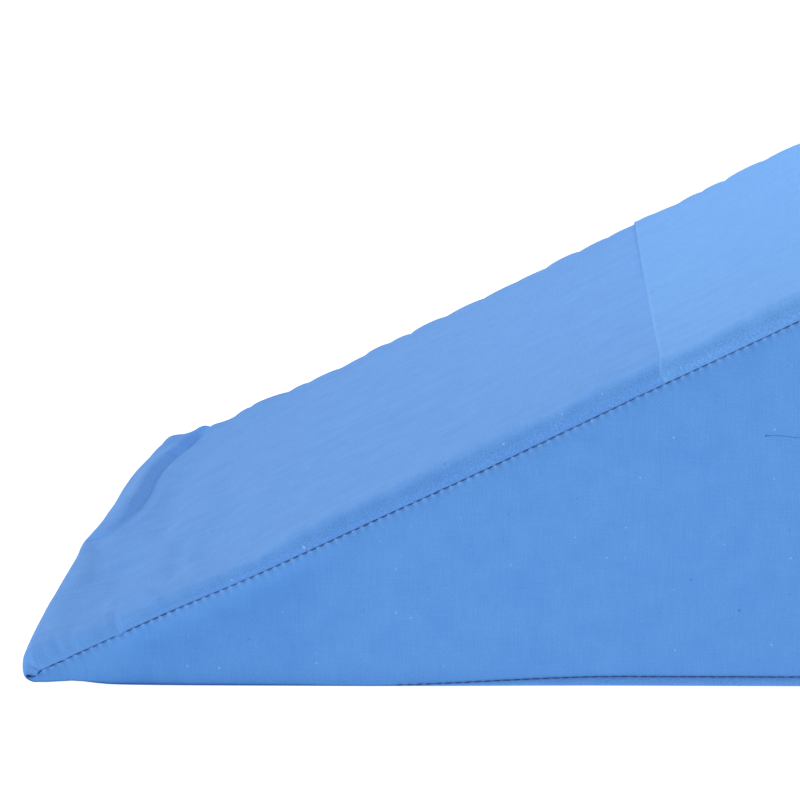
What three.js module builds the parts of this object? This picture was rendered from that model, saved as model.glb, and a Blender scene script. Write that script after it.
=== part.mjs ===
// A wedge-shaped positioning cushion: a foam-filled block in a sewn woven cover.
// The filled body carries the wrap panel, one long strip that runs over the slope, round the thin nose,
// under the base and up the back. Its two ends meet in a cross seam half way up the slope. A triangular
// panel is sewn into each side, a little inside the edge, so the wrap panel rolls over that edge.
// Millimetres. X runs from the nose to the back, Y from one side to the other, Z up. The base lies on Z = 0.
import * as THREE from 'three';

// Driving sizes
const LENGTH = 500;
const WIDTH = 400;
const SLOPE_RISE = 0.49; // height gained for each unit of length
const SLOPE_START = 6.2; // height of the slope's own line at its foot
const SLOPE_FOOT_X = -LENGTH / 2 + 7.5;
const NOSE_X = -LENGTH / 2 + 5; // the nose's own line, from which its loose cloth swells
const NOSE_RADIUS = 5;
const NOSE_EASE = 26; // the slope eases out of the round nose over about this distance
const NOSE_LIFT = 2.2; // the underside of the thin end rises this much
const NOSE_LIFT_END = -170; // and comes down to the base at this X
const CORNER_RADIUS = 14;
const FACE_CROWN = 3; // how far the filled slope and back stand proud of their edges
const CROWN_START = 90; // the slope reaches its full crown this far up from the nose
const CLOTH = 2; // thickness of a side panel with its seam allowance
const GAP = 0.3; // gap between a side panel's back and the filled body
const EDGE_GAP = 0.5; // gap round a side panel's rim, where the seam thread lies

// How the side panel meets the wrap panel
const BAND_SET_IN = 1.2; // the rolled edge of the wrap panel, inside the overall width
const SEAM_DIP = 1.4; // the seam line lies this much deeper than the rolled edge
const SEAM_SOFTNESS = 4; // the side panel climbs out of the seam over about this distance
const SIDE_FILL = 40; // and reaches its full swell over about this one
const ROLL_SHARE = 0.8; // radius of the rolled edge, as a share of the distance from edge to seam

// Distance of the side seam from the cushion's edge, measured on the side face
const SEAM_INSET = { nose: 3, slope: 9.2, back: 6.5, base: 4 };
const SLOPE_WIDENING = { from: 10, to: 230 }; // up the slope
const BASE_WIDENING = { from: -160, to: -20 }; // in X

// Stations along each stretch of the profile
const STEPS = { base: 8, nose: 5, slope: 34, top: 4, back: 5, heel: 3, width: 26, edge: 3 };
const CROWDING = { slope: 1.7, base: 0.7 }; // stations crowd towards the nose, where the cloth is loose
const WIDTH_CROWDING = 1.2; // cross sections crowd a little towards the sides
const SEAM_CLEARANCE = 0.015; // no other station this close to the cross seam's own, as a share of the slope

// Rings of a side face, as shares of the way out from its spine to its seam
const SIDE_RINGS = [0.94, 0.8, 0.5, 0.15];
const SPINE = { nose: { x: NOSE_X + 14, z: NOSE_LIFT + 6 }, middle: { x: LENGTH / 2 - 98, z: 95 } };

// Cross seam where the ends of the wrap panel meet, at this distance up the slope
const CROSS_SEAM = { along: 287, width: 16, height: 1.3, lap: 1.2 };

// Loose cloth near the nose. along is measured up the slope from its foot, y across it, height off it.
const PUFFS = [
  { along: 4, y: -90, reachAlong: 18, reachY: 120, height: 1.8 },
  { along: 2, y: 120, reachAlong: 11, reachY: 95, height: 2.6 },
  { along: 8, y: 206, reachAlong: 22, reachY: 34, height: 6.5 },
  { along: 34, y: 206, reachAlong: 20, reachY: 30, height: 2.5 },
  { along: 62, y: -176, reachAlong: 24, reachY: 26, height: 1.4 },
  { along: 96, y: -150, reachAlong: 26, reachY: 60, height: -1.2 },
];

// How far the nose swells out past its own line along its length
const NOSE_SWELLS = [
  { y: -80, reach: 70, height: 4 },
  { y: 24, reach: 36, height: 4.4 },
  { y: 196, reach: 40, height: -3 },
];
const NOSE_SWELL_REACH = 45;

// The long valley that parts the puffed lip of the nose from the slope, as points on the slope
const LIP_VALLEY = {
  halfWidth: 7.5,
  depth: 3.6,
  path: [
    { along: -3, y: 36 },
    { along: 12, y: 26 },
    { along: 20, y: 40 },
    { along: 17, y: 95 },
    { along: 15.5, y: 140 },
    { along: 20, y: 180 },
    { along: 34, y: 205 },
  ],
};

// Corners that the seams draw in towards the cushion's middle. x, z is the corner on the side face.
const DRAWN_CORNERS = [
  { x: NOSE_X, z: 5, pull: 4, reach: 26 },
  { x: LENGTH / 2, z: 240, pull: 6, reach: 38 },
  { x: LENGTH / 2, z: 4, pull: 3.5, reach: 30 },
];
const MIDDLE = new THREE.Vector3(60, 0, 90);

// The side panel falls away under the seam near the nose, where the foam's edge stands proud
const SIDE_HOLLOW = { from: 30, full: 70, fade: 110, to: 152, below: 8, reach: 8, depth: 1.1 };

const lerp = THREE.MathUtils.lerp;
const smooth = THREE.MathUtils.smoothstep;
const bell = (distance, reach) => Math.exp(-((distance / reach) ** 2));

const slopeAngle = Math.atan(SLOPE_RISE);
const slopeLength = (x) => (x - SLOPE_FOOT_X) / Math.cos(slopeAngle);
const slopeLine = (x) => SLOPE_START + (x - SLOPE_FOOT_X) * SLOPE_RISE;
const backX = LENGTH / 2 - FACE_CROWN;

// One station of the profile: a point in the X-Z plane, its outward direction and the stretch it is on.
function station(face, x, z, angle, share) {
  return { face, x, z, nx: Math.cos(angle), nz: Math.sin(angle), share };
}

function arc(face, centre, radius, from, to, steps) {
  return spread(steps).map((share) => {
    const angle = lerp(from, to, share);
    const x = centre.x + radius * Math.cos(angle);
    const z = centre.z + radius * Math.sin(angle);
    return station(face, x, z, angle, share);
  });
}

function straight(face, from, to, angle, shares) {
  return shares.map((share) => {
    return station(face, lerp(from.x, to.x, share), lerp(from.z, to.z, share), angle, share);
  });
}

function spread(steps, crowding = 1) {
  return Array.from({ length: steps }, (_, i) => ((i + 1) / steps) ** crowding);
}

// Stations of the slope, with some of their own where the cross seam steps up and fades out.
function slopeShares(from, to) {
  const shareAt = (along) => (SLOPE_FOOT_X + along * Math.cos(slopeAngle) - from.x) / (to.x - from.x);
  const places = [-CROSS_SEAM.lap, CROSS_SEAM.lap, CROSS_SEAM.width / 2, CROSS_SEAM.width];
  const seam = places.map((past) => shareAt(CROSS_SEAM.along + past));
  const low = seam[0] - SEAM_CLEARANCE;
  const high = seam.at(-1) + SEAM_CLEARANCE;
  const others = spread(STEPS.slope, CROWDING.slope).filter((share) => share < low || share > high);
  return [...others, ...seam].sort((a, b) => a - b);
}

// The whole profile, once round from the heel: base, nose, slope, top, back, heel.
function profile() {
  const up = Math.PI / 2 + slopeAngle; // outward direction of the slope
  const down = -Math.PI / 2;
  const onArc = (centre, radius) => {
    return { x: centre.x + radius * Math.cos(up), z: centre.z + radius * Math.sin(up) };
  };
  const heel = { x: backX - CORNER_RADIUS, z: CORNER_RADIUS };
  const nose = { x: NOSE_X + NOSE_RADIUS, z: NOSE_RADIUS + NOSE_LIFT };
  const topX = backX - CORNER_RADIUS;
  const top = { x: topX, z: slopeLine(topX) - CORNER_RADIUS / Math.cos(slopeAngle) };
  const slopeFrom = onArc(nose, NOSE_RADIUS);
  const slopeTo = onArc(top, CORNER_RADIUS);
  const underside = spread(STEPS.base, CROWDING.base);
  const base = straight('base', { x: heel.x, z: 0 }, { x: nose.x, z: 0 }, down, underside);
  const slope = straight('slope', slopeFrom, slopeTo, up, slopeShares(slopeFrom, slopeTo));
  for (const s of base) s.z = NOSE_LIFT * (1 - smooth(s.x, nose.x, NOSE_LIFT_END));
  for (const s of slope) {
    const proud = slopeFrom.z - slopeLine(slopeFrom.x);
    s.z = slopeLine(s.x) + proud * bell(slopeLength(s.x), NOSE_EASE);
  }
  return [
    ...base,
    ...arc('nose', nose, NOSE_RADIUS, 2 * Math.PI + down, up, STEPS.nose),
    ...slope,
    ...arc('top', top, CORNER_RADIUS, up, 0, STEPS.top),
    ...straight('back', { x: backX, z: top.z }, { x: backX, z: heel.z }, 0, spread(STEPS.back)),
    ...arc('heel', heel, CORNER_RADIUS, 0, down, STEPS.heel),
  ];
}

const outline = profile();

// How far in from the edge the side seam runs.
function slopeInset(along) {
  return lerp(SEAM_INSET.nose, SEAM_INSET.slope, smooth(along, SLOPE_WIDENING.from, SLOPE_WIDENING.to));
}

function baseInset(x) {
  return lerp(SEAM_INSET.nose, SEAM_INSET.base, smooth(x, BASE_WIDENING.from, BASE_WIDENING.to));
}

function seamInset(s) {
  if (s.face === 'slope') return slopeInset(slopeLength(s.x));
  if (s.face === 'top') return lerp(SEAM_INSET.slope, SEAM_INSET.back, s.share);
  if (s.face === 'back') return SEAM_INSET.back;
  if (s.face === 'heel') return lerp(SEAM_INSET.back, SEAM_INSET.base, s.share);
  if (s.face === 'nose') return SEAM_INSET.nose;
  return baseInset(s.x);
}

// Distance from a point of the slope to the lip valley's path.
function distanceToValley(along, y) {
  let nearest = Infinity;
  const p = new THREE.Vector2(along, y);
  for (let i = 1; i < LIP_VALLEY.path.length; i++) {
    const a = new THREE.Vector2(LIP_VALLEY.path[i - 1].along, LIP_VALLEY.path[i - 1].y);
    const b = new THREE.Vector2(LIP_VALLEY.path[i].along, LIP_VALLEY.path[i].y);
    const ab = b.clone().sub(a);
    const t = THREE.MathUtils.clamp(p.clone().sub(a).dot(ab) / ab.lengthSq(), 0, 1);
    nearest = Math.min(nearest, p.distanceTo(a.addScaledVector(ab, t)));
  }
  return nearest;
}

// The upper end of the wrap panel laps over the lower end: a steep edge that fades out uphill.
function crossSeamHeight(along) {
  const past = along - CROSS_SEAM.along;
  const step = smooth(past, -CROSS_SEAM.lap, CROSS_SEAM.lap);
  return CROSS_SEAM.height * step * (1 - smooth(past, 0, CROSS_SEAM.width));
}

// Height of the cloth over the plain profile at a station, for a place across the width.
function clothHeight(s, y) {
  const across = 1 - (y / (WIDTH / 2)) ** 2;
  if (s.face === 'back') return FACE_CROWN * across * Math.sin(Math.PI * s.share);
  if (s.face !== 'slope' && s.face !== 'nose') return 0;
  const along = slopeLength(s.x);
  const upper = s.face === 'nose' ? Math.max(0, s.nz) : 1; // puffs fade out round the nose
  let height = FACE_CROWN * across * smooth(along, 0, CROWN_START);
  for (const p of PUFFS) {
    height += p.height * upper * bell(along - p.along, p.reachAlong) * bell(y - p.y, p.reachY);
  }
  height -= LIP_VALLEY.depth * upper * bell(distanceToValley(along, y), LIP_VALLEY.halfWidth);
  return height + crossSeamHeight(along);
}

// Loose cloth swells the nose out, and the seams draw the corners in.
function settle(p) {
  const swell = NOSE_SWELLS.reduce((sum, w) => sum + w.height * bell(p.y - w.y, w.reach), 0);
  p.x -= swell * bell(p.x - NOSE_X, NOSE_SWELL_REACH);
  for (const c of DRAWN_CORNERS) {
    const corner = new THREE.Vector3(c.x, p.y < 0 ? -WIDTH / 2 : WIDTH / 2, c.z);
    const inwards = MIDDLE.clone().sub(corner).normalize();
    p.addScaledVector(inwards, c.pull * bell(p.distanceTo(corner), c.reach));
  }
  p.z = Math.max(0, p.z);
  return p;
}

// A ring of the wrap panel at a given place across the width, set in from the profile.
function wrapRing(yOf, setIn) {
  return outline.map((s) => {
    const y = yOf(s);
    const off = clothHeight(s, y) - setIn(s);
    return settle(new THREE.Vector3(s.x + s.nx * off, y, s.z + s.nz * off));
  });
}

// The side panel's outer surface, as a distance from the cushion's middle plane.
function sideDepth(x, z) {
  const along = slopeLength(x);
  const fromSlope = Math.max(0, (slopeLine(x) - z) * Math.cos(slopeAngle) - slopeInset(along));
  const fromBase = Math.max(0, z - baseInset(x));
  const fromBack = Math.max(0, backX - x - SEAM_INSET.back);
  const distances = [fromSlope, fromBase, fromBack];
  const climb = 1 - Math.exp(-Math.min(...distances) / SEAM_SOFTNESS);
  const fill = distances.reduce((product, d) => product * Math.tanh(d / SIDE_FILL), 1);
  const enter = smooth(along, SIDE_HOLLOW.from, SIDE_HOLLOW.full);
  const leave = 1 - smooth(along, SIDE_HOLLOW.fade, SIDE_HOLLOW.to);
  const hollow = SIDE_HOLLOW.depth * enter * leave * bell(fromSlope - SIDE_HOLLOW.below, SIDE_HOLLOW.reach);
  return WIDTH / 2 - BAND_SET_IN - SEAM_DIP + BAND_SET_IN * climb + SEAM_DIP * fill - hollow;
}

// The line inside a side face that its rings close in on, from the nose to the middle of the thick end.
function spinePoint(s) {
  const x = THREE.MathUtils.clamp(s.x, SPINE.nose.x, SPINE.middle.x);
  const share = (x - SPINE.nose.x) / (SPINE.middle.x - SPINE.nose.x);
  return { x, z: lerp(SPINE.nose.z, SPINE.middle.z, share) };
}

// A ring on a side face. side is -1 or 1, share the way out from the spine, inset a further distance
// inside the seam, lift a distance off the side panel's outer surface.
function sideRing(side, share, inset, lift) {
  return outline.map((s) => {
    const d = seamInset(s) + inset;
    const spine = spinePoint(s);
    const x = lerp(spine.x, s.x - s.nx * d, share);
    const z = lerp(spine.z, s.z - s.nz * d, share);
    return settle(new THREE.Vector3(x, side * (sideDepth(x, z) + lift), z));
  });
}

// Closes a ring with a ladder of triangles, walking both ways round it from the nose.
function ladder(ring) {
  const faces = [];
  let up = outline.findIndex((s) => s.face === 'slope');
  let under = up - 1;
  for (let rung = 0; rung < ring.length - 2; rung++) {
    const nextUp = (up + 1) % ring.length;
    const nextUnder = (under + ring.length - 1) % ring.length;
    const climb = ring[nextUp].distanceTo(ring[under]) < ring[up].distanceTo(ring[nextUnder]);
    faces.push([up, climb ? nextUp : nextUnder, under]);
    if (climb) up = nextUp;
    else under = nextUnder;
  }
  return faces;
}

// Skins a closed solid over rings of equal count that follow one another towards +Y.
function skin(rings) {
  const count = rings[0].length;
  const points = rings.flat();
  const at = (ring, i) => ring * count + (i % count);
  const faces = [];
  for (let r = 1; r < rings.length; r++) {
    for (let i = 0; i < count; i++) {
      const [a, b, c, d] = [at(r - 1, i), at(r - 1, i + 1), at(r, i + 1), at(r, i)];
      // each four-cornered patch is split along its shorter diagonal
      const short = points[a].distanceTo(points[c]) < points[b].distanceTo(points[d]);
      faces.push(...(short ? [a, b, c, a, c, d] : [a, b, d, b, c, d]));
    }
  }
  for (const [a, b, c] of ladder(rings[0])) faces.push(a, c, b);
  const last = points.length - count;
  for (const [a, b, c] of ladder(rings.at(-1))) faces.push(last + a, last + b, last + c);
  const geometry = new THREE.BufferGeometry().setFromPoints(points);
  geometry.setIndex(faces);
  geometry.computeVertexNormals();
  return geometry;
}

// Rings of the body at one side, from its rolled edge over the seam and across the side panel's recess.
function edgeRings(side) {
  const radius = (s) => ROLL_SHARE * seamInset(s);
  const recess = -CLOTH - GAP;
  const rolled = spread(STEPS.edge).map((share) => {
    const turn = share * (Math.PI / 2);
    const yOf = (s) => side * (WIDTH / 2 - BAND_SET_IN - radius(s) * (1 - Math.sin(turn)));
    return wrapRing(yOf, (s) => radius(s) * (1 - Math.cos(turn)));
  });
  const floor = [1, ...SIDE_RINGS].map((share) => sideRing(side, share, 0, recess));
  return [...rolled, sideRing(side, 1, 0, 0), ...floor];
}

function body() {
  const across = [0, ...spread(STEPS.width)].map((share) => {
    return Math.sin(lerp(-WIDTH_CROWDING, WIDTH_CROWDING, share)) / Math.sin(WIDTH_CROWDING);
  });
  const flat = across.map((place) => {
    const yOf = (s) => place * (WIDTH / 2 - BAND_SET_IN - ROLL_SHARE * seamInset(s));
    return wrapRing(yOf, () => 0);
  });
  return skin([...edgeRings(-1).reverse(), ...flat, ...edgeRings(1)]);
}

function sidePanel(side) {
  const shares = [1, ...SIDE_RINGS];
  const outer = shares.map((share) => sideRing(side, share, EDGE_GAP, 0));
  const inner = shares.map((share) => sideRing(side, share, EDGE_GAP, -CLOTH));
  const rings = [...inner.reverse(), ...outer];
  return skin(side > 0 ? rings : rings.reverse());
}

const wrapCloth = new THREE.MeshStandardMaterial({ color: 0x6ea3e6, roughness: 0.85, metalness: 0 });
const sideCloth = new THREE.MeshStandardMaterial({ color: 0x5d94de, roughness: 0.88, metalness: 0 });

function named(name, geometry, material) {
  const mesh = new THREE.Mesh(geometry, material);
  mesh.name = name;
  return mesh;
}

const cushion = new THREE.Group();
cushion.add(named('wrap_body', body(), wrapCloth));
cushion.add(named('side_panel_near', sidePanel(-1), sideCloth));
cushion.add(named('side_panel_far', sidePanel(1), sideCloth));

export default cushion;
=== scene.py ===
# Wedge-shaped positioning cushion: a foam block in a blue woven cover, seen close from its thin end.
import math

import bmesh
import bpy
import numpy as np
from mathutils import Matrix, Vector


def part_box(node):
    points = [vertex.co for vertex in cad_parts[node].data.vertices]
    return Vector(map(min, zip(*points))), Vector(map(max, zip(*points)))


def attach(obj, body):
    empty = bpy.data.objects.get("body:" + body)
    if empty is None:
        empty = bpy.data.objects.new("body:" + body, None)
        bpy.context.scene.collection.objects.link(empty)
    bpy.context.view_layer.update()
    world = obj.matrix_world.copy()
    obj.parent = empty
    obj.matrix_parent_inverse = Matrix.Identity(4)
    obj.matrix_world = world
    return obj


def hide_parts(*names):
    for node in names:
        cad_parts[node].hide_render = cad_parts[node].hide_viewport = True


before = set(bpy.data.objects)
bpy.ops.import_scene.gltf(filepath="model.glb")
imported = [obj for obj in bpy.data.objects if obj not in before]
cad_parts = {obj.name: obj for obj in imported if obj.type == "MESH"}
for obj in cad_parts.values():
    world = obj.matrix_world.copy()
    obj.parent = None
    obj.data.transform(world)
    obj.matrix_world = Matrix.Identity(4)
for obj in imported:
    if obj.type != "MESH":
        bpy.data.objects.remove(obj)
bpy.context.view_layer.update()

mm = 0.001
scene = bpy.context.scene
bodyLow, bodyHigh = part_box("wrap_body")

# the wedge itself, in millimetres
wedge = {
    "halfLength": round(bodyHigh[0] / mm),
    "halfWidth": 200.0,
    "rise": 0.49,  # height gained for each unit of length
    "slopeStart": 6.2,  # height of the slope's line at its foot
    "footIn": 7.5,  # the foot lies this far in from the end
    "noseIn": 5.0,
    "noseRadius": 5.9,
    "noseEase": 26.0,  # the round nose runs into the slope over this reach
    "noseLift": 0.4,
    "noseLiftEnd": -170.0,
    "baseFold": (-222.0, 9.0, 1.1),  # one small fold under the nose: x, reach, height
    "cornerRadius": 14.0,
    "crown": 1.9,
    "crownStart": 90.0,  # the slope's crown is full from here on
    "backCrown": 3.0,
}
backX = wedge["halfLength"] - wedge["backCrown"]
footX = -wedge["halfLength"] + wedge["footIn"]
noseX = -wedge["halfLength"] + wedge["noseIn"]
slopeAngle = math.atan(wedge["rise"])


def lerp(a, b, t):
    return a + (b - a) * t


def smooth(v, low, high):
    t = np.clip((np.asarray(v, float) - low) / (high - low), 0, 1)
    return t * t * (3 - 2 * t)


def bell(distance, reach):
    return np.exp(-((np.asarray(distance, float) / reach) ** 2))


def alongSlope(x):
    return (x - footX) / math.cos(slopeAngle)


def slopeLine(x):
    return wedge["slopeStart"] + (x - footX) * wedge["rise"]


# side seam: how far it runs inside the cushion's edge
seam = {
    "insetNose": 3.5,
    "insetSlope": 8.3,
    "widens": (-10, 225),  # along the slope, from the one to the other
    "sag": 0.65,  # a little further in at one place, and over the upper half
    "sagSpot": (108, 34),
    "sagUpper": (260, 340),
    "insetBack": 6.5,
    "insetBase": 4.0,
    "insetThinBase": 0.15,  # under the thin end the seam hides at the bottom edge
    "thinTo": (-110, 0),
    "rollIn": 1.2,  # the rolled edge stays this far inside the overall width
    "dip": 1.4,  # and the seam lies this much deeper
    "thinDip": 0.15,
    "roll": 0.55,  # radius of the roll, as a share of the inset
    "rollNose": 0.85,
    "rollFade": (20, 120),
    "tipFrom": 0.3,  # at the tip the seam bends down and runs out to the nose
    "tipTo": 0.7,
    "tipBend": (-239.6, 1.0),
    "tipDip": 2.2,  # in a little fold pocket
}
bandY = wedge["halfWidth"] - seam["rollIn"]
seamY = bandY - seam["dip"]


def slopeInset(along):
    spot, reach = seam["sagSpot"]
    sag = seam["sag"] * (bell(along - spot, reach) + smooth(along, *seam["sagUpper"]))
    return lerp(seam["insetNose"], seam["insetSlope"], smooth(along, *seam["widens"])) + sag


def baseInset(x):
    return lerp(seam["insetThinBase"], seam["insetBase"], smooth(x, *seam["thinTo"]))


def baseDip(x):
    return lerp(seam["thinDip"], seam["dip"], smooth(x, *seam["thinTo"]))


# the profile, once round from the heel: base, nose, slope, top, back, heel
profileSteps = {"base": 70, "nose": 14, "slope": 270, "top": 10, "back": 34, "heel": 8}
profileBias = {"base": 0.75, "slope": 1.2}  # the rows lie closer together near the nose
rowClear = 0.001  # no plain row this near the cross seam's own rows


def evenly(steps, power=1.0):
    return [((i + 1) / steps) ** power for i in range(steps)]


def buildProfile():
    rows = []
    up = math.pi / 2 + slopeAngle
    r, c = wedge["noseRadius"], wedge["cornerRadius"]
    noseC = (noseX + r, r + wedge["noseLift"])
    topC = (backX - c, slopeLine(backX - c) - c / math.cos(slopeAngle))
    heelC = (backX - c, c)
    slopeA = (noseC[0] + r * math.cos(up), noseC[1] + r * math.sin(up))
    slopeB = (topC[0] + c * math.cos(up), topC[1] + c * math.sin(up))

    def line(face, a, b, angle, shares):
        for t in shares:
            rows.append((face, lerp(a[0], b[0], t), lerp(a[1], b[1], t), angle, t))

    def arc(face, centre, radius, a0, a1, steps):
        for i in range(1, steps + 1):
            a = lerp(a0, a1, i / steps)
            x, z = centre[0] + radius * math.cos(a), centre[1] + radius * math.sin(a)
            rows.append((face, x, z, a, i / steps))

    rows.append(("base", heelC[0], 0.0, -math.pi / 2, 0.0))
    shares = evenly(profileSteps["base"], profileBias["base"])
    line("base", (heelC[0], 0), (noseC[0], 0), -math.pi / 2, shares)
    arc("nose", noseC, r, 1.5 * math.pi, up, profileSteps["nose"])
    stepAt = [footX + (crossSeam["along"] + d) * math.cos(slopeAngle) for d in crossSeam["stations"]]
    fine = [(x - slopeA[0]) / (slopeB[0] - slopeA[0]) for x in stepAt]
    shares = evenly(profileSteps["slope"], profileBias["slope"])
    coarse = [t for t in shares if t < fine[0] - rowClear or t > fine[-1] + rowClear]
    line("slope", slopeA, slopeB, up, sorted(coarse + fine))
    arc("top", topC, c, up, 0, profileSteps["top"])
    line("back", (backX, topC[1]), (backX, heelC[1]), 0, evenly(profileSteps["back"]))
    arc("heel", heelC, c, 0, -math.pi / 2, profileSteps["heel"])

    face = np.array([row[0] for row in rows])
    x, z, angle, share = (np.array([row[k] for row in rows]) for k in (1, 2, 3, 4))
    along = alongSlope(x)
    onSlope, onBase = face == "slope", face == "base"
    proud = slopeA[1] - slopeLine(slopeA[0])
    z = np.where(onSlope, slopeLine(x) + proud * bell(along, wedge["noseEase"]), z)
    z[onBase] = wedge["noseLift"] * smooth(-x[onBase], -wedge["noseLiftEnd"], -noseC[0])
    foldX, foldReach, foldHeight = wedge["baseFold"]
    z[onBase] += foldHeight * bell(x[onBase] - foldX, foldReach)
    inset = np.select(
        [onSlope, face == "top", face == "back", face == "heel"],
        [
            slopeInset(along) + proud * math.cos(slopeAngle) * bell(along, wedge["noseEase"]),
            lerp(seam["insetSlope"], seam["insetBack"], share),
            np.full_like(x, seam["insetBack"]),
            lerp(seam["insetBack"], seam["insetBase"], share),
        ],
        baseInset(x),
    )
    nx, nz = np.cos(angle), np.sin(angle)
    seamX, seamZ = x - nx * inset, z - nz * inset
    onNose = face == "nose"
    tip = np.flatnonzero(onNose & (share >= seam["tipFrom"]))
    last = tip[-1] + 1
    stops = (seam["tipFrom"], seam["tipTo"], 1)
    seamX[tip] = np.interp(share[tip], stops, (seamX[tip[0]], seam["tipBend"][0], seamX[last]))
    seamZ[tip] = np.interp(share[tip], stops, (seamZ[tip[0]], seam["tipBend"][1], seamZ[last]))
    deep = np.hypot(x - seamX, z - seamZ)
    soft = np.where(onNose, 1.0, np.where(onSlope, 1 - smooth(along, *seam["rollFade"]), 0.0))
    pocket = np.where(onNose, seam["tipDip"] * np.sin(math.pi * share), 0)
    return {
        "face": face, "share": share, "x": x, "z": z, "nx": nx, "nz": nz, "along": along,
        "length": np.concatenate([[0], np.cumsum(np.hypot(np.diff(x), np.diff(z)))]),
        "seamX": seamX, "seamZ": seamZ, "radius": deep * lerp(seam["roll"], seam["rollNose"], soft),
        "dip": np.where(onBase, baseDip(x), seam["dip"]) + pocket,
    }


# cross seam half way up the slope: the upper end of the wrap panel lies over the lower one
crossSeam = {
    "along": 287.0,
    "near": 0.5,  # height of the step at the near edge, and at the far one
    "far": 1.1,
    "grows": (-120, 160),
    "edge": 0.55,
    "fade": 15.0,  # the step runs out up the slope
    "ridge": (0.5, 1.1, 0.3),  # place, width, height
    "wander": (0.12, 23),  # the seam isn't quite straight: how far, over what width
    "stations": (-1.4, -0.7, -0.2, 0.2, 0.7, 1.4, 2.4),
    "slide": (1.6, 2.6, 50.0),  # towards the nose: on the flat, more on the rolled edge, reach
}

# loose cloth near the nose: along the slope, across it, reach each way, height
puffs = [
    (4, -90, 18, 120, 1.8),
    (36, 202, 8, 22, 4.6),
    (9, 200, 14, 26, 3.4),
    (60, 200, 18, 40, 2.6),
    (62, -176, 24, 26, 1.4),
    (96, -150, 26, 60, -1.2),
]
# swells of the nose's edge: across, reach, how far out
noseSwells = [(-45, 60, 1.1), (7, 28, 3.0), (56, 20, 0.8), (116, 30, 0.5), (205, 32, -5.0)]
noseSwellReach = 45.0

# the puffed lip of the nose and the valley behind it
lip = {
    "height": 2.6,
    "wall": 2.8,
    "start": (0, 13),  # along: rising from the nose's edge
    "from": (2, 62),  # across: where it starts to rise, and is full
    "depth": 1.8,  # of the valley
    "lipSide": 2.6,  # the valley is steep beside the lip, soft towards the slope
    "slopeSide": 8.0,
    "fade": (-1, 14),  # it runs out before the nose's edge
    "path": [
        (-6, 12), (5, -1), (13, -5), (17, 8), (18.5, 36), (18.2, 70),
        (16.5, 105), (17.5, 137), (20.5, 162), (28, 186), (44, 208),
    ],
}

# soft creases in the slope: path of (along, across), half width, height
creases = [
    ([(6, -6), (14, -50), (18, -105)], 5, -1.6),
    ([(-3, 18), (4, -14), (10, -40)], 4, -0.8),
    ([(29, -96), (33, -132)], 7, -1.2),
    ([(16, -66), (6, -120), (12, -160)], 7, 0.9),
    ([(60, -96), (62, -136), (65, -166)], 3.2, -1.0),
    ([(68, -130), (78, -180)], 4, 0.7),
    ([(52, -90), (54, -150)], 4.5, 0.6),
    ([(36, -163), (38, -158), (42, -159), (49, -168), (55, -178), (61, -195)], 3.0, 1.2),
    ([(46, -184), (57, -194)], 3.4, -0.9),
    ([(38, -179), (43, -202)], 1.7, -1.6),
    ([(12, -190), (16, -204)], 2.0, -1.0),
    ([(23, 128), (25, 80), (29, 28), (27, 2)], 3.6, 0.9),
    ([(37, 88), (39, 33), (42, -13), (46, -59)], 6, -1.0),
    ([(52, 60), (60, 0), (64, -50)], 9, 0.7),
    ([(74, 20), (80, -60), (76, -150)], 10, -0.7),
    ([(92, -60), (120, -190)], 9, 0.6),
    ([(188, -60), (196, -120)], 7, -0.6),
    ([(176, 30), (190, -60)], 6, 0.4),
    ([(150, 0), (168, 120)], 9, 0.4),
    ([(232, -110), (262, -190)], 8, 0.4),
]

drawnCorners = [  # x, z, pull towards the middle, reach
    (noseX, 5.0, 2.2, 26.0),
    (250.0, 240.0, 6.0, 38.0),
    (250.0, 4.0, 3.5, 30.0),
]
middle = np.array([60.0, 0.0, 90.0])  # the corners are drawn towards it


def distanceToPath(a, y, path):
    # distance to a bent line, and whether the point lies left of it
    nearest = np.full(np.broadcast(a, y).shape, 1e9)
    left = np.zeros(nearest.shape, bool)
    for (a0, y0), (a1, y1) in zip(path, path[1:]):
        da, dy = a1 - a0, y1 - y0
        t = np.clip(((a - a0) * da + (y - y0) * dy) / (da * da + dy * dy), 0, 1)
        gap = np.hypot(a - a0 - t * da, y - y0 - t * dy)
        left = np.where(gap < nearest, da * (y - y0) - dy * (a - a0) > 0, left)
        nearest = np.minimum(nearest, gap)
    return nearest, left


# puckers along the seams: rounded puffs between tight stitches, uneven in pitch and height
puckers = {
    -1: {"pitch": (10, 25), "height": (0.3, 1.0)},
    1: {"pitch": (10, 23), "height": (0.4, 1.25)},
}
pucker = {"reach": 15.0, "seed": 11, "count": 90, "first": -60}


def puckerWave(side, length):
    rng = np.random.default_rng(pucker["seed"] + side)
    count = pucker["count"]
    steps = np.cumsum(rng.uniform(*puckers[side]["pitch"], count))
    knots = np.concatenate([[pucker["first"]], pucker["first"] + steps])
    tops = rng.uniform(*puckers[side]["height"], count + 1)
    at = np.clip(np.searchsorted(knots, length) - 1, 0, count - 1)
    t = (length - knots[at]) / (knots[at + 1] - knots[at]) * 2 - 1
    return tops[at] * np.sqrt(np.clip(1 - t * t, 0, 1))


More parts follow.
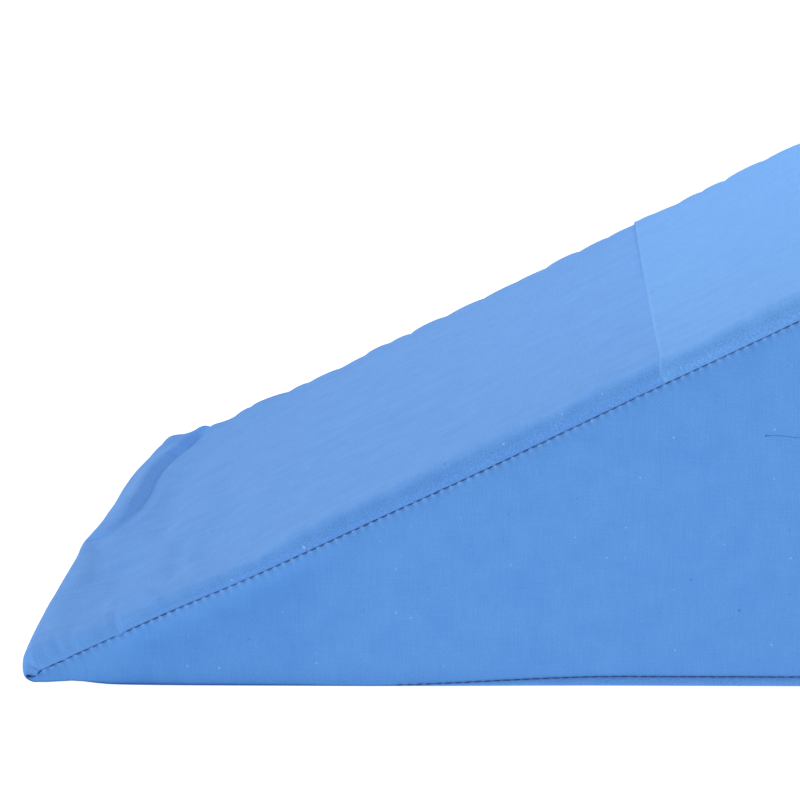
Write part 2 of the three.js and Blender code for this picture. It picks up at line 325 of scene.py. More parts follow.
def clothHeight(p, y):
    # height of the cloth over the plain profile; p holds the profile's columns
    across = 1 - (y / wedge["halfWidth"]) ** 2
    onSlope, onNose, onBack = (p["face"] == name for name in ("slope", "nose", "back"))
    upper = np.where(onNose, np.maximum(0, p["nz"]), 1.0)
    a = p["along"]
    h = wedge["crown"] * across * smooth(a, 0, wedge["crownStart"])
    for a0, y0, ra, ry, height in puffs:
        h = h + height * upper * bell(a - a0, ra) * bell(y - y0, ry)
    gap, onLip = distanceToPath(a, y, lip["path"])
    puffed = np.where(onLip, 1 - bell(gap, lip["wall"]), 0)
    puffed = puffed * smooth(y, *lip["from"]) * smooth(a, *lip["start"])
    valley = bell(gap, np.where(onLip, lip["lipSide"], lip["slopeSide"])) * smooth(a, *lip["fade"])
    h = h + upper * (lip["height"] * puffed - lip["depth"] * valley)
    for path, halfWidth, height in creases:
        h = h + height * upper * bell(distanceToPath(a, y, path)[0], halfWidth)
    past = a - crossSeam["along"] + crossSeam["wander"][0] * np.sin(y / crossSeam["wander"][1])
    rise = lerp(crossSeam["near"], crossSeam["far"], smooth(y, *crossSeam["grows"]))
    step = rise * smooth(past, -crossSeam["edge"], crossSeam["edge"])
    h = h + step * (1 - smooth(past, 0, crossSeam["fade"]))
    ridgeAt, ridgeWidth, ridgeHeight = crossSeam["ridge"]
    h = h + ridgeHeight * bell(past - ridgeAt, ridgeWidth)
    h = np.where(onSlope | onNose, h, 0)
    return np.where(onBack, wedge["backCrown"] * across * np.sin(np.pi * p["share"]), h)


def settle(x, y, z):
    # the nose swells out and the seams draw the corners in
    swell = sum(height * bell(y - y0, reach) for y0, reach, height in noseSwells)
    x = x - swell * bell(x - noseX, noseSwellReach)
    for cx, cz, pull, reach in drawnCorners:
        cy = np.where(y < 0, -wedge["halfWidth"], wedge["halfWidth"])
        dx, dy, dz = middle[0] - cx, middle[1] - cy, middle[2] - cz
        size = np.sqrt(dx * dx + dy * dy + dz * dz)
        near = pull * bell(np.sqrt((x - cx) ** 2 + (y - cy) ** 2 + (z - cz) ** 2), reach) / size
        x, y, z = x + dx * near, y + dy * near, z + dz * near
    return x, y, np.maximum(z, 0)


mergeGap = 1e-6  # in metres


def gridMesh(places, uvs, marks=None):
    # a grid of quads whose points are moved to places[i, j], in millimetres, with uv in metres
    nu, nv = places.shape[0] - 1, places.shape[1] - 1
    bm = bmesh.new()
    bmesh.ops.create_grid(bm, x_segments=nu, y_segments=nv, size=1.0)
    uvLayer = bm.loops.layers.uv.new("cloth")
    layers = {name: bm.verts.layers.float.new(name) for name in (marks or {})}
    for v in bm.verts:
        ij = round((v.co.x + 1) / 2 * nu), round((v.co.y + 1) / 2 * nv)
        for loop in v.link_loops:
            loop[uvLayer].uv = uvs[ij]
        for name, layer in layers.items():
            v[layer] = marks[name][ij]
        v.co = Vector(places[ij]) * mm
    return bm


def closeHoles(bm):
    bmesh.ops.remove_doubles(bm, verts=bm.verts, dist=mergeGap)
    rim = [e for e in bm.edges if e.is_boundary]
    made = bmesh.ops.holes_fill(bm, edges=rim, sides=0)["faces"]
    bmesh.ops.triangulate(bm, faces=made)
    bmesh.ops.recalc_face_normals(bm, faces=bm.faces)


def toObject(name, bm, material, smoothShade=True):
    mesh = bpy.data.meshes.new(name)
    bm.to_mesh(mesh)
    bm.free()
    obj = bpy.data.objects.new(name, mesh)
    scene.collection.objects.link(obj)
    if material:
        mesh.materials.append(material)
    if smoothShade:
        mesh.shade_smooth()
    return obj


# materials
class Sock:
    # wraps a socket so that sums can be written as sums
    def __init__(self, tree, socket):
        self.tree, self.socket = tree, socket

    def math(self, operation, *others):
        values = dict(enumerate((self,) + others))
        return node(self.tree, "ShaderNodeMath", {"operation": operation}, values)

    def __add__(self, other):
        return self.math("ADD", other)

    def __sub__(self, other):
        return self.math("SUBTRACT", other)

    def __mul__(self, other):
        return self.math("MULTIPLY", other)

    def __rsub__(self, other):
        return self * -1 + other

    def __gt__(self, other):
        return self.math("GREATER_THAN", other)

    def __lt__(self, other):
        return self.math("LESS_THAN", other)

    __radd__, __rmul__ = __add__, __mul__


def node(tree, kind, settings, values, output=0):
    # adds one node: settings first, then a value or a link for each named input
    made = tree.nodes.new(kind)
    for key, value in settings.items():
        if key == "stops":
            for k, (place, colour) in enumerate(value):
                stop = made.color_ramp.elements[k] if k < 2 else made.color_ramp.elements.new(place)
                stop.position, stop.color = place, (*colour, 1)
        else:
            setattr(made, key, value)
    for key, value in values.items():
        target = made.inputs[key]
        if isinstance(value, Sock):
            tree.links.new(value.socket, target)
        else:
            target.default_value = value
    return Sock(tree, made.outputs[output])


def outputsOf(sock):
    return [Sock(sock.tree, out) for out in sock.socket.node.outputs]


def mixColour(tree, factor, a, b):
    return node(tree, "ShaderNodeMix", {"data_type": "RGBA"}, {0: factor, 6: a, 7: b}, output=2)


def bellOf(distance, reach):
    return (distance * distance * (-1 / reach ** 2)).math("EXPONENT")


# the cloth: lengths in millimetres, the rest as shares of the tone or the relief
weave = {
    "warp": 0.94,  # one pair of threads
    "weft": 0.82,
    "stray": 1.8,  # how far the threads wander
    "mottle": 14.0,
    "fleckCell": 6.5,
    "fleckSize": (0.018, 0.05),
    "fleckRagged": 0.09,
    "fleckShare": 0.18,  # of the cells
    "light": {"upTo": 0.74, "strength": 0.34, "colour": (0.42, 0.62, 0.95, 1)},
    "dark": {"from": 0.82, "strength": 0.7, "colour": (0.03, 0.10, 0.32, 1)},
    # the pale blue that the painted highlights are drawn towards
    "paintedHighlight": (0.27, 0.50, 0.90, 1),
    "tone": {"warp": 0.05, "weft": 0.04, "warpwise": 0.24, "weftwise": 0.20, "grain": 1.5, "mottle": 0.34},
    "relief": {"threads": 0.22, "warpwise": 0.9, "weftwise": 0.7, "grain": 1.4},
    "bump": (0.9, 0.00006),  # strength, and depth in metres
    "rough": (0.82, 0.12),
    "sheen": 0.06,
    "sheenRough": 0.45,
    "sheenTint": (0.9, 0.95, 1.0, 1),
    "gloss": 0.08,
}


class Cloth:
    # the places and noises that both cloths share
    def __init__(self, tree):
        self.tree = tree
        uv = node(tree, "ShaderNodeUVMap", {"uv_map": "cloth"}, {})
        self.place = node(tree, "ShaderNodeVectorMath", {"operation": "SCALE"}, {0: uv, "Scale": 1 / mm})
        self.u, self.v = outputsOf(node(tree, "ShaderNodeSeparateXYZ", {}, {0: self.place}))[:2]
        self.grain = self.noise(2.3, 2.3, 3, 1.3)

    def noise(self, scaleU, scaleV, detail, seed):
        # noise about zero, at its own scale along each thread
        places = {0: self.u * scaleU + seed, 1: self.v * scaleV + seed * 1.7}
        at = node(self.tree, "ShaderNodeCombineXYZ", {}, places)
        return node(self.tree, "ShaderNodeTexNoise", {"noise_dimensions": "2D"},
                    {"Vector": at, "Scale": 1.0, "Detail": detail, "Roughness": 0.6}) - 0.5

    def mark(self, name):
        return node(self.tree, "ShaderNodeAttribute", {"attribute_name": name}, {}, output=2)

    def flecks(self, colour):
        # lint and slubs: a few light specks and fewer dark ones, each of its own size
        cells = node(self.tree, "ShaderNodeTexVoronoi", {"voronoi_dimensions": "2D"},
                     {"Vector": self.place, "Scale": 1 / weave["fleckCell"], "Randomness": 1.0})
        distance, pick = outputsOf(cells)[:2]
        chance, kind, size = outputsOf(node(self.tree, "ShaderNodeSeparateXYZ", {}, {0: pick}))[:3]
        least, more = weave["fleckSize"]
        inside = distance + self.grain * weave["fleckRagged"] < size * size * more + least
        spot = inside * (chance > 1 - weave["fleckShare"])
        light, dark = weave["light"], weave["dark"]
        share = spot * (kind < light["upTo"]) * light["strength"]
        colour = mixColour(self.tree, share, colour, light["colour"])
        share = spot * (kind > dark["from"]) * dark["strength"]
        return mixColour(self.tree, share, colour, dark["colour"])


def clothMaterial(name, look, extras):
    mat = bpy.data.materials.new(name)
    mat.use_nodes = True
    tree = mat.node_tree
    shader = tree.nodes["Principled BSDF"]
    cloth = Cloth(tree)
    strayU = cloth.noise(0.12, 0.05, 1, 5.5) * weave["stray"]
    warp = ((cloth.u + strayU) * (2 * math.pi / weave["warp"])).math("COSINE")
    strayV = cloth.noise(0.05, 0.12, 1, 2.2) * weave["stray"]
    weft = ((cloth.v + strayV) * (2 * math.pi / weave["weft"])).math("COSINE")
    warpwise = cloth.noise(1.2, 0.07, 2, 3.1)  # threads that are thicker or thinner over their length
    weftwise = cloth.noise(0.07, 1.2, 2, 8.7)
    mottle = cloth.noise(1 / weave["mottle"], 1 / weave["mottle"], 3, 6.2)
    part = weave["tone"]
    tone = 0.5 + warpwise * part["warpwise"] + weftwise * part["weftwise"]
    tone = tone + cloth.grain * part["grain"]
    tone = tone + mottle * part["mottle"] + warp * part["warp"] + weft * part["weft"]
    part = weave["relief"]
    height = (warp + weft + warp * weft) * part["threads"]
    height = height + warpwise * part["warpwise"] + weftwise * part["weftwise"]
    height = height + cloth.grain * part["grain"]
    moreTone, moreHeight, shine = extras(cloth)
    stops = [(0.0, look["deep"]), (1.0, look["light"])]
    colour = node(tree, "ShaderNodeValToRGB", {"stops": stops}, {0: tone + moreTone})
    # painted highlight: where the extras set shine, the colour is drawn towards a pale blue
    colour = mixColour(tree, shine, colour, weave["paintedHighlight"])
    tree.links.new(cloth.flecks(colour).socket, shader.inputs["Base Color"])
    strength, depth = weave["bump"]
    relief = {"Strength": strength, "Distance": depth, "Height": height + moreHeight}
    bump = node(tree, "ShaderNodeBump", {}, relief)
    tree.links.new(bump.socket, shader.inputs["Normal"])
    rough, roughVary = weave["rough"]
    tree.links.new((cloth.grain * roughVary + rough).socket, shader.inputs["Roughness"])
    shader.inputs["Sheen Weight"].default_value = weave["sheen"]
    shader.inputs["Sheen Roughness"].default_value = weave["sheenRough"]
    shader.inputs["Sheen Tint"].default_value = weave["sheenTint"]
    shader.inputs["Specular IOR Level"].default_value = weave["gloss"]
    return mat


profile = buildProfile()
n = len(profile["x"])
crossAt = float(np.interp(crossSeam["along"], profile["along"][profile["face"] == "slope"],
                          profile["length"][profile["face"] == "slope"]))
noseAt = float(profile["length"][profile["face"] == "nose"][-1])

# tones of the wrap panel: broken ribs and painted shade on the rolled edge, faint drawn threads down the
# slope, a lighter upper panel that also carries painted light, a painted highlight on the cross seam's
# ridge, painted shade towards the nose
wrapTone = {
    "deep": (0.078, 0.222, 0.582), "light": (0.139, 0.346, 0.722),
    "ribs": 1.1, "bandGrain": 0.8, "bandShade": 0.22,
    # upper: the upper panel's own lighter cloth, and painted light for the brighter upper slope
    "drawn": 0.36, "upper": 0.27,
    # fold: a painted highlight along the cross seam's ridge
    "fold": 0.24, "foldAt": 0.4, "foldReach": 0.8,
    # nose: painted shade towards the nose
    "nose": 0.13, "noseReach": 110.0,
    "ribRelief": 2.2, "drawnRelief": 1.2,
}


def wrapExtras(cloth):
    band = cloth.mark("band")
    ribs = cloth.noise(1.5, 1.0, 3, 9.1)
    drawn = cloth.noise(0.008, 0.22, 2, 4.4)
    # the upper panel: its own lighter cloth, and painted light for the brighter upper slope
    upper = cloth.u > crossAt
    # painted highlight along the cross seam's ridge
    fold = bellOf(cloth.u - crossAt - wrapTone["foldAt"], wrapTone["foldReach"])
    # painted shade: darker towards the nose
    nose = bellOf(cloth.u - noseAt, wrapTone["noseReach"])
    tone = band * (ribs * wrapTone["ribs"] + cloth.grain * wrapTone["bandGrain"] - wrapTone["bandShade"])
    tone = tone + drawn * wrapTone["drawn"] + upper * wrapTone["upper"]
    tone = tone + fold * wrapTone["fold"] - nose * wrapTone["nose"]
    return tone, band * ribs * wrapTone["ribRelief"] + drawn * wrapTone["drawnRelief"], 0.0


wrapCloth = clothMaterial("wrap cloth", wrapTone, wrapExtras)

thread = {"twist": 900.0, "twistShade": 0.55, "stops": (0.3, 0.7), "rough": 0.6, "sheen": 0.1}


def threadMaterial(name, colour):
    mat = bpy.data.materials.new(name)
    mat.use_nodes = True
    tree = mat.node_tree
    shader = tree.nodes["Principled BSDF"]
    place = node(tree, "ShaderNodeTexCoord", {}, {}, output=3)
    twist = node(tree, "ShaderNodeTexNoise", {}, {"Vector": place, "Scale": thread["twist"], "Detail": 2.0})
    # darker patches of the twist, laid by noise: painted shade for the hollows between the strands
    dark = tuple(c * thread["twistShade"] for c in colour)
    stops = list(zip(thread["stops"], (dark, colour)))
    shade = node(tree, "ShaderNodeValToRGB", {"stops": stops}, {0: twist})
    tree.links.new(shade.socket, shader.inputs["Base Color"])
    shader.inputs["Roughness"].default_value = thread["rough"]
    shader.inputs["Sheen Weight"].default_value = thread["sheen"]
    return mat


print("materials made")

# wrap panel: rolls over both edges and tucks into the side seams
wrapSteps = {"middle": 130, "edge": 14, "roll": 9, "tuck": 5}
wrapEdge = {
    "width": 32.0,  # beside each edge the grid is finer
    "flange": 4.0,
    "tuckCloth": 2.4,
    "puffOut": 0.6,  # how far the puckers also swell sideways
    "noseCalm": 0.3,
    "markAcross": (0.3, 0.8),  # the ribbed band and its painted shade start on the roll
    "markAlong": (30, 150),  # and fades out towards the nose
}


def acrossStations():
    # each station: side, part of the way, share of that part
    half = [("roll", i / wrapSteps["roll"]) for i in range(1, wrapSteps["roll"] + 1)]
    half += [("tuck", i / wrapSteps["tuck"]) for i in range(1, wrapSteps["tuck"] + 1)]
    half += [("flange", 1.0)]
    inner = 1 - wrapEdge["width"] / bandY
    edge = [1 - (1 - inner) * i / wrapSteps["edge"] for i in range(wrapSteps["edge"])]
    flat = [-t for t in edge]
    flat += [lerp(-inner, inner, i / wrapSteps["middle"]) for i in range(wrapSteps["middle"] + 1)]
    flat += edge[::-1]
    start = [(-1, part, t) for part, t in reversed(half)]
    return start + [(0, "flat", t) for t in flat] + [(1, part, t) for part, t in half]


def wrapPlaces():
    stations = acrossStations()
    p = profile
    radius = p["radius"]
    edgeY = bandY - radius
    rollArc = edgeY + radius * math.pi / 2
    places = np.zeros((n, len(stations), 3))
    band = np.zeros((n, len(stations)))
    uvs = np.zeros((n, len(stations), 2))
    waves = {side: puckerWave(side, p["length"]) for side in (-1, 1)}
    onBase, onNose, onSlope = (p["face"] == name for name in ("base", "nose", "slope"))
    edgeMark = np.where(onSlope, smooth(p["along"], *wrapEdge["markAlong"]), 1) * np.where(onNose, 0, 1)
    calm = np.where(onBase, 0.0, 1.0) * np.where(onNose, wrapEdge["noseCalm"], 1.0)
    flatSlide, rollSlide, slideReach = crossSeam["slide"]
    slideHere = bell(p["along"] - crossSeam["along"], slideReach) * onSlope
    for j, (side, part, t) in enumerate(stations):
        turn = t * math.pi / 2
        rolled = {"flat": 0.0, "roll": t}.get(part, 1.0)
        slide = (flatSlide + rollSlide * rolled) * slideHere
        tuck = 0.0  # how far from the end of the roll to the seam line
        if part == "flat":
            y = t * edgeY
            off = clothHeight(p, y)
            puff = waves[-1 if t < 0 else 1] * bell(edgeY - np.abs(y), pucker["reach"])
            sideways, across = 0.0, t * edgeY
        elif part == "roll":
            y = side * (edgeY + radius * math.sin(turn))
            off = clothHeight(p, y) - radius * (1 - math.cos(turn))
            puff = waves[side] * math.cos(turn)
            sideways = side * waves[side] * math.sin(turn) * wrapEdge["puffOut"]
            across = side * (edgeY + radius * turn)
            band[:, j] = smooth(t, *wrapEdge["markAcross"]) * edgeMark
        elif part == "tuck":
            tuck = math.sin(turn)
            y = side * (bandY - p["dip"] * (1 - math.cos(turn)))
            off = clothHeight(p, side * bandY) * (1 - t) - radius
            puff, sideways = 0.0, side * waves[side] * (1 - t) * wrapEdge["puffOut"]
            across = side * (rollArc + wrapEdge["tuckCloth"] * t)
            band[:, j] = edgeMark
        else:
            tuck = 1.0
            y = side * (bandY - p["dip"] - wrapEdge["flange"])
            off, puff, sideways = -radius, 0.0, 0.0
            across = side * (rollArc + wrapEdge["tuckCloth"] + wrapEdge["flange"])
            band[:, j] = edgeMark
        off = off + puff * calm
        y = y + sideways * calm
        x = p["x"] + p["nx"] * off + tuck * (p["seamX"] - p["x"] + p["nx"] * radius) - slide * p["nz"]
        z = p["z"] + p["nz"] * off + tuck * (p["seamZ"] - p["z"] + p["nz"] * radius) + slide * p["nx"]
        places[:, j] = np.stack(settle(x, y, z), axis=1)
        uvs[:, j] = np.stack([p["length"] * mm, across * mm + 0 * x], axis=1)
    return places, uvs, band


def seamWalk(side):
    # the seam line itself, at the bottom of its channel
    p = profile
    return np.stack(settle(p["seamX"], side * (bandY - p["dip"]), p["seamZ"]), axis=1)


# the wrap's cloth is settled by simulation: the filling presses out, the seams and the base hold
drape = {
    "apart": 4.5,  # between the points of the run
    "frames": 16,
    "quality": 5,
    "mass": 0.2,
    "stretch": 12,
    "shear": 4,
    "bend": 0.2,
    "pressure": 0.15,
    "loose": (-0.002, -0.022),  # the cloth is cut larger beside the seams and at the nose
    "looseReach": 26.0,
    "noseReach": 40,
    "cap": 1.0,  # no point moves further, in millimetres
    "soften": 3,
}


def sparse(length, apart):
    # every line that lies far enough from the one before
    picked = [0]
    for k in range(1, len(length)):
        if length[k] - length[picked[-1]] >= apart or k == len(length) - 1:
            picked.append(k)
    return np.array(picked)


def runCloth(places, held, loose):
    # runs a grid as cloth and returns its settled places
    nu, nv = held.shape
    row, column = np.meshgrid(np.arange(nu), np.arange(nv), indexing="ij")
    bm = gridMesh(places, np.zeros((nu, nv, 2)), {"row": row, "column": column})
    bm.normal_update()
    if max(bm.verts, key=lambda v: v.co.z).normal.z < 0:
        bmesh.ops.reverse_faces(bm, faces=bm.faces)
    obj = toObject("cloth run", bm, None)
    at = np.zeros((2, nu * nv), np.float32)
    obj.data.attributes["row"].data.foreach_get("value", at[0])
    obj.data.attributes["column"].data.foreach_get("value", at[1])
    at = tuple(at.round().astype(int))
    for name, weights in (("held", held[at]), ("loose", loose[at])):
        group = obj.vertex_groups.new(name=name)
        for k in np.flatnonzero(weights > 0):
            group.add([int(k)], float(weights[k]), "REPLACE")
    fabric = obj.modifiers.new("fabric", "CLOTH")
    values = fabric.settings
    values.quality, values.mass = drape["quality"], drape["mass"]
    values.tension_stiffness = values.compression_stiffness = drape["stretch"]
    values.shear_stiffness, values.bending_stiffness = drape["shear"], drape["bend"]
    values.use_pressure, values.uniform_pressure_force = True, drape["pressure"]
    values.effector_weights.gravity = 0
    values.vertex_group_mass, values.vertex_group_shrink = "held", "loose"
    values.shrink_min, values.shrink_max = drape["loose"]
    fabric.collision_settings.use_collision = False
    fabric.point_cache.frame_start, fabric.point_cache.frame_end = 1, drape["frames"]
    for k in range(1, drape["frames"] + 1):
        scene.frame_set(k)
    settled = obj.evaluated_get(bpy.context.evaluated_depsgraph_get())
    where = np.zeros(nu * nv * 3, np.float32)
    settled.data.vertices.foreach_get("co", where)
    result = places.copy()
    result[at] = where.reshape(-1, 3) / mm
    bpy.data.meshes.remove(obj.data)  # its object goes with it
    scene.frame_set(1)
    return result


def soften(values, times):
    for _ in range(times):
        values[1:-1] = (values[:-2] + 2 * values[1:-1] + values[2:]) / 4
        values[:, 1:-1] = (values[:, :-2] + 2 * values[:, 1:-1] + values[:, 2:]) / 4
    return values


def settledMoves(places, across):
    # how far each point of the wrap moves when its cloth settles
    rows, columns = sparse(profile["length"], drape["apart"]), sparse(across, drape["apart"])
    coarse = places[np.ix_(rows, columns)]
    onBase, onHeel = (profile["face"][rows] == name for name in ("base", "heel"))
    gap = bandY - np.abs(across[columns])
    held = (onBase | onHeel)[:, None] | (gap < 0)[None, :]
    atNose = bell(profile["along"][rows], drape["noseReach"])
    loose = np.maximum(bell(gap, drape["looseReach"])[None, :], atNose[:, None])
    moved = runCloth(coarse, held.astype(float), loose) - coarse
    size = np.linalg.norm(moved, axis=2, keepdims=True)
    print("cloth moved", [round(float(v), 2) for v in np.percentile(size, (50, 90, 99, 100))], "mm")
    moved = moved * np.minimum(1, drape["cap"] / np.maximum(size, 1e-6)) * (1 - held[..., None])
    fine = np.zeros(places.shape)
    for c in range(3):
        wide = np.stack([np.interp(across, across[columns], line) for line in moved[..., c]])
        for j in range(len(across)):
            fine[:, j, c] = np.interp(profile["length"], profile["length"][rows], wide[:, j])
    return soften(fine, drape["soften"])


places, uvs, band = wrapPlaces()
places = places + settledMoves(places, uvs[n // 2, :, 1] / mm)
places[..., 2] = np.maximum(places[..., 2], 0)
bm = gridMesh(places, uvs, {"band": band})
closeHoles(bm)
wrapCover = toObject("wrapCover", bm, wrapCloth)
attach(wrapCover, "root")
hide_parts("wrap_body")
print("wrap panel made", len(wrapCover.data.polygons), "faces")

# lockstitch along the seams
stitch = {
    "pitch": 3.9,
    "length": (2.9, 3.5),
    "radius": (0.35, 0.22),
    "change": (-130.0, 40.0),  # from the short, thick ones near the nose to the long, thin ones
    "lengthVary": (0.85, 1.08),
    "radiusVary": (0.85, 1.15),
    "tilt": 0.05,
    "proud": 0.42,
    "sides": 6,
    "seed": 5,
    "baseZ": 6.0,  # below this they are those of the base edge
    "baseThin": 0.62,
    "hidden": (-236.0, -92.0),  # under the thin end they don't show
}
stitchThread = threadMaterial("stitch thread", (0.013, 0.055, 0.20))


def walkLength(walk):
    return np.concatenate([[0], np.cumsum(np.linalg.norm(np.diff(walk, axis=0), axis=1))])


# tones of the side panels, most of them beside the slope's seam: painted light, shade and highlights at the
# stitches, painted shade in the hollow under the seam and along the bottom edge
sideTone = {
    "deep": (0.065, 0.220, 0.585),
    "light": (0.130, 0.328, 0.715),
    "measured": 150,  # along the slope: where the stitches are matched
    "ragged": 1.2,
    # shine: painted highlights beside the seam and between the stitches; tug: painted light and shade at
    # each stitch
    "shine": (0.20, 0.34),
    "tug": 0.3,
    # hollow: painted shade in the hollow under the slope's seam
    "hollow": 0.22,
    # low: painted shade along the bottom edge
    "low": 0.22,
    "lowReach": 5.0,
    "tugRelief": 1.6,
}


def stitchPhase():
    # where the first stitch on the slope starts, in the shader's own measure along the slope
    walk = seamWalk(-1)
    k = np.flatnonzero(profile["along"] * (profile["face"] == "slope") > sideTone["measured"])[0]
    return walkLength(walk)[k] - (walk[k, 0] + walk[k, 2] * wedge["rise"]) * math.cos(slopeAngle)


def sideExtras(cloth):
    # the cloth is drawn together at each stitch: a ripple in the relief, with painted light and shade at
    # the same pitch, and a painted highlight between the stitches and along the seam
    along = (cloth.u + cloth.v * wedge["rise"]) * math.cos(slopeAngle) + stitchPhase()
    edge = cloth.mark("nearSeam")
    tug = (along * (2 * math.pi / stitch["pitch"])).math("COSINE") + cloth.grain * sideTone["ragged"]
    plain, between = sideTone["shine"]
    shine = edge * edge * (tug * between + plain)
    # painted shade: the cloth is darker towards the bottom edge
    low = bellOf(cloth.v, sideTone["lowReach"])
    # painted shade in the hollow under the slope's seam
    tone = tug * edge * sideTone["tug"] - cloth.mark("hollow") * sideTone["hollow"] - low * sideTone["low"]
    return tone, tug * edge * sideTone["tugRelief"], shine.math("MAXIMUM", 0.0)


sideCloth = clothMaterial("side cloth", sideTone, sideExtras)

# side panels: a crowned triangle inside the seam
sidePanel = {
    "along": 250,  # steps of its grid
    "up": 46,
    "gap": 0.12,  # inside the seam line
    "thickness": 1.5,
    "softness": 3.0,  # it climbs out of the seam over this width
    "fillReach": 40.0,
    "nearSeam": 1.3,
    "shallowReach": 3.0,
    "waves": (0.25, 5.2, 13.0, 5, 1.5),  # beside the seam: height, two lengths, reach, clear of the seam
    "swell": (0.35, 41, 33),  # over the whole side: height, width, height of one swell
    "hollowRises": (20.0, 60.0),  # along the slope
    "hollowFalls": (118.0, 156.0),
    "hollowDepth": 2.2,
    "hollowBelow": 5.0,
    "hollowKeeps": 9.0,
    "hollowReturn": 30.0,
}


def besideSeams(x, z):
    along = alongSlope(x)
    fromSlope = np.maximum(0, (slopeLine(x) - z) * math.cos(slopeAngle) - slopeInset(along))
    fromBase = np.maximum(0, z - baseInset(x))
    fromBack = np.maximum(0, backX - x - seam["insetBack"])
    return fromSlope, fromBase, fromBack


def sideHollow(x, z):
    # the side falls in a little under the slope's seam
    along = alongSlope(x)
    fromSlope = besideSeams(x, z)[0]
    rising = smooth(along, *sidePanel["hollowRises"])
    falling = 1 - smooth(along, *sidePanel["hollowFalls"])
    back = np.exp(-np.maximum(0, fromSlope - sidePanel["hollowKeeps"]) / sidePanel["hollowReturn"])
    return rising * falling * (1 - bell(fromSlope, sidePanel["hollowBelow"])) * back


def sideDepth(x, z, side):
    fromSlope, fromBase, fromBack = besideSeams(x, z)
    nearest = np.minimum(np.minimum(fromSlope, fromBase), fromBack)
    climb = 1 - np.exp(-nearest / sidePanel["softness"])
    fill = np.ones_like(x)
    for d in (fromSlope, fromBase, fromBack):
        fill = fill * np.tanh(d / sidePanel["fillReach"])
    hollow = sidePanel["hollowDepth"] * sideHollow(x, z)
    height, short, long, reach, clear = sidePanel["waves"]
    beside = np.exp(-fromSlope / reach) * (1 - np.exp(-fromSlope / clear))
    wave = height * np.sin(x / short + side) * np.sin(x / long) * beside
    height, wide, high = sidePanel["swell"]
    soft = height * np.sin(x / wide + 1.3 * side) * np.sin(z / high + 0.7) * fill
    shallow = (seam["dip"] - baseDip(x)) * np.exp(-fromBase / sidePanel["shallowReach"])
    return seamY + seam["rollIn"] * climb + seam["dip"] * fill - hollow + wave + soft + shallow


def chain(points, count):
    # points evenly spread over a polyline
    step = np.hypot(*np.diff(points, axis=0).T)
    length = np.concatenate([[0], np.cumsum(step)])
    share = np.linspace(0, length[-1], count)
    return np.stack([np.interp(share, length, points[:, k]) for k in (0, 1)], axis=1)


def sidePlaces(side):
    p = profile
    inX, inZ = p["seamX"] - p["x"], p["seamZ"] - p["z"]
    deep = np.hypot(inX, inZ)
    ringX = p["seamX"] + sidePanel["gap"] * inX / deep
    ring = np.stack([ringX, p["seamZ"] + sidePanel["gap"] * inZ / deep], axis=1)
    face = p["face"]
    tip = int(np.flatnonzero(face == "nose")[profileSteps["nose"] // 2])
    backEnd = int(np.flatnonzero(face == "back")[-1])
    backStart = int(np.flatnonzero(face == "top")[-1])
    upper = chain(ring[tip:backStart + 1], sidePanel["along"])
    lower = chain(np.concatenate([ring[: tip + 1][::-1], ring[backEnd:][::-1]]), sidePanel["along"])
    v = 0.5 - 0.5 * np.cos(np.linspace(0, math.pi, sidePanel["up"]))
    flat = lower[:, None] * (1 - v)[None, :, None] + upper[:, None] * v[None, :, None]
    x, z = flat[..., 0], flat[..., 1]
    moved = settle(x, side * sideDepth(x, z, side), z)
    nearSeam = np.exp(-besideSeams(x, z)[0] / sidePanel["nearSeam"])
    # the hollow's share also goes to the cloth, for the painted shade there
    marks = {"nearSeam": nearSeam, "hollow": sideHollow(x, z)}
    return np.stack(moved, axis=-1), np.stack([x * mm, z * mm], axis=-1), marks


def makeSide(name, cadPiece, side):
    bm = gridMesh(*sidePlaces(side))
    bmesh.ops.remove_doubles(bm, verts=bm.verts, dist=mergeGap)
    inner = bmesh.ops.extrude_face_region(bm, geom=bm.faces[:], use_keep_orig=True)["geom"]
    inner = [v for v in inner if isinstance(v, bmesh.types.BMVert)]
    bmesh.ops.translate(bm, verts=inner, vec=(0, -side * sidePanel["thickness"] * mm, 0))
    bmesh.ops.recalc_face_normals(bm, faces=bm.faces)
    obj = toObject(name, bm, sideCloth)
    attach(obj, "root")
    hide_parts(cadPiece)
    print(name, "made", len(obj.data.polygons), "faces")
    return obj


makeSide("sideNear", "side_panel_near", -1)
makeSide("sideFar", "side_panel_far", 1)


# stitches: dark lockstitch dashes at the bottom of the seam channel
def spread(values, at, length):
    return np.array([np.interp(at, length, values[:, c]) for c in range(3)])


def capsule(bm, start, end, radius, tilt=0.0):
    # a plump length of thread from start to end, in millimetres
    run = Vector(end - start)
    turn = run.to_track_quat("X", "Z").to_matrix().to_4x4()
    place = Matrix.Translation(Vector((start + end) / 2))
    size = Matrix.Diagonal((run.length / 2, radius, radius, 1))
    matrix = Matrix.Scale(mm, 4) @ place @ turn @ Matrix.Rotation(tilt, 4, "Y") @ size
    sides = stitch["sides"]
    bmesh.ops.create_uvsphere(bm, u_segments=sides, v_segments=sides, radius=1.0,
                              matrix=matrix @ Matrix.Rotation(math.pi / 2, 4, "Y"))


